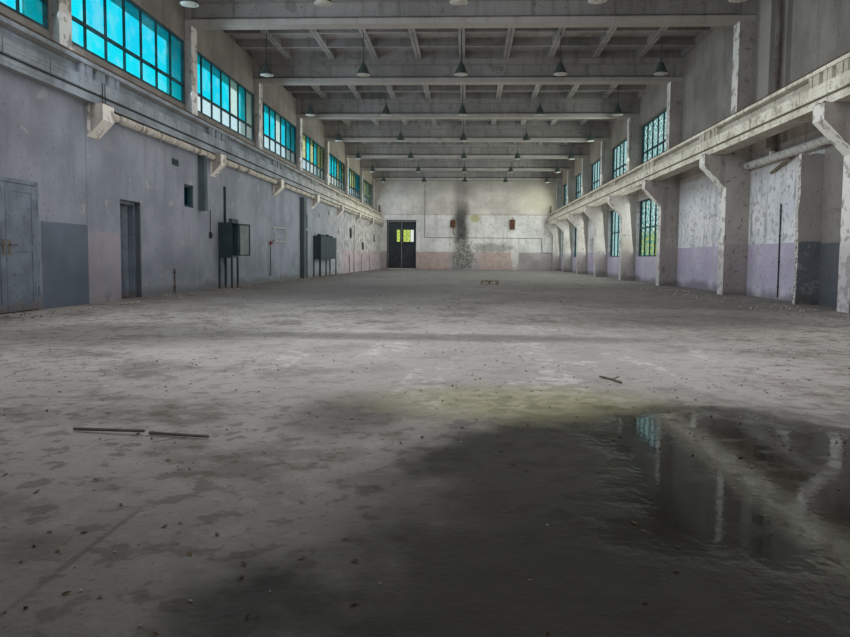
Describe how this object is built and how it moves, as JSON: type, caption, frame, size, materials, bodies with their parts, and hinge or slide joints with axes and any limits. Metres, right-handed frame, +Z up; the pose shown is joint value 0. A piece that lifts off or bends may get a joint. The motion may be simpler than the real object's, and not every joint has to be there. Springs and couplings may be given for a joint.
{
  "type": "half-scale crane hall of a factory",
  "caption": "Long single-nave concrete crane hall at half scale: corbelled columns, crane beams with rails, girders, ribbed roof slabs, clerestory, doors and gate.",
  "frame": {"origin": "middle of the hall's outline, at the underside of its walls and floor slab", "axes": "+Y along the nave towards the gate wall, +X across it to the right, +Z up"},
  "size_m": [7.91, 27.97, 4.335],
  "materials": {
    "floor_concrete": "worn, dusty concrete",
    "frame_concrete": "limewashed concrete",
    "beam_concrete": "cream limewashed concrete",
    "slab_concrete": "sooty concrete",
    "panel_concrete": "concrete panel, limewashed inside",
    "plaster": "flaking limewashed plaster",
    "roof_felt": "roofing felt",
    "rail_steel": "rusty, bright on the head",
    "window_paint": "dull dark teal paint",
    "window_glass": "dusty blue-green tinted glass",
    "door_paint": "dull blue-grey paint",
    "gate_paint": "dull dark paint, rusty edges",
    "cabinet_paint": "dull dark blue-green paint",
    "pipe_lagging": "plastered lagging",
    "pipe_steel": "rusty painted steel",
    "duct_sheet": "dull grey paint",
    "lamp_enamel": "dark green-grey enamel"
  },
  "bodies": {
    "hall": {"floor_slab": "floor_concrete", "columns_left": "frame_concrete", "columns_right": "frame_concrete", "crane_beams_left": "beam_concrete", "crane_beams_right": "beam_concrete", "crane_rails": "rail_steel", "roof_girders": "frame_concrete", "roof_slabs": "slab_concrete", "roof_covering": "roof_felt", "left_inner_wall": "plaster", "left_outer_wall": "panel_concrete", "left_upper_wall": "panel_concrete", "door_lintels": "plaster", "door_jambs": "plaster", "outer_doors": "door_paint", "right_outer_wall": "panel_concrete", "right_door_lintel": "panel_concrete", "right_upper_wall": "panel_concrete", "cross_wall": "plaster", "far_wall": "plaster", "gate_lintel": "plaster", "far_upper_wall": "plaster", "near_wall": "plaster", "clerestory_frames": "window_paint", "clerestory_glass": "window_glass", "lower_window_frames": "window_paint", "lower_window_glass": "window_glass", "double_door_frame": "door_paint", "side_door_frame": "door_paint", "gate_frame": "gate_paint", "switch_cabinet": "cabinet_paint", "second_cabinet": "cabinet_paint", "heating_pipes": "pipe_lagging", "down_pipe": "pipe_steel", "wall_duct": "duct_sheet", "end_wall_pipe": "pipe_steel", "lamps": "lamp_enamel"},
    "near_door_leaf": {"double_door_near_leaf": "door_paint"},
    "far_door_leaf": {"double_door_far_leaf": "door_paint"},
    "side_door": {"side_door_leaf": "door_paint"},
    "gate_left": {"gate_left_leaf": "gate_paint", "gate_left_glass": "window_glass"},
    "gate_right": {"gate_right_leaf": "gate_paint", "gate_right_glass": "window_glass"},
    "cabinet_door": {"switch_cabinet_door": "cabinet_paint"}
  },
  "joints": [
    {"name": "near_door_hinge", "type": "hinge", "parent": "hall", "child": "near_door_leaf", "pos_m": [-3.369, -8.9605, 0.575], "axis": [0, 0, -1], "range_deg": [0, 110]},
    {"name": "far_door_hinge", "type": "hinge", "parent": "hall", "child": "far_door_leaf", "pos_m": [-3.369, -8.2095, 0.575], "axis": [0, 0, 1], "range_deg": [0, 110]},
    {"name": "side_door_hinge", "type": "hinge", "parent": "hall", "child": "side_door", "pos_m": [-3.516, -6.458, 0.575], "axis": [0, 0, -1], "range_deg": [-45, 45]},
    {"name": "gate_left_hinge", "type": "hinge", "parent": "hall", "child": "gate_left", "pos_m": [-3.085, 13.976, 1.075], "axis": [0, 0, 1], "range_deg": [0, 100]},
    {"name": "gate_right_hinge", "type": "hinge", "parent": "hall", "child": "gate_right", "pos_m": [-1.98, 13.976, 1.075], "axis": [0, 0, -1], "range_deg": [0, 100]},
    {"name": "cabinet_door_hinge", "type": "hinge", "parent": "hall", "child": "cabinet_door", "pos_m": [-3.169, -3.886, 0.77], "axis": [0, 0, 1], "range_deg": [-163, 10]}
  ]
}
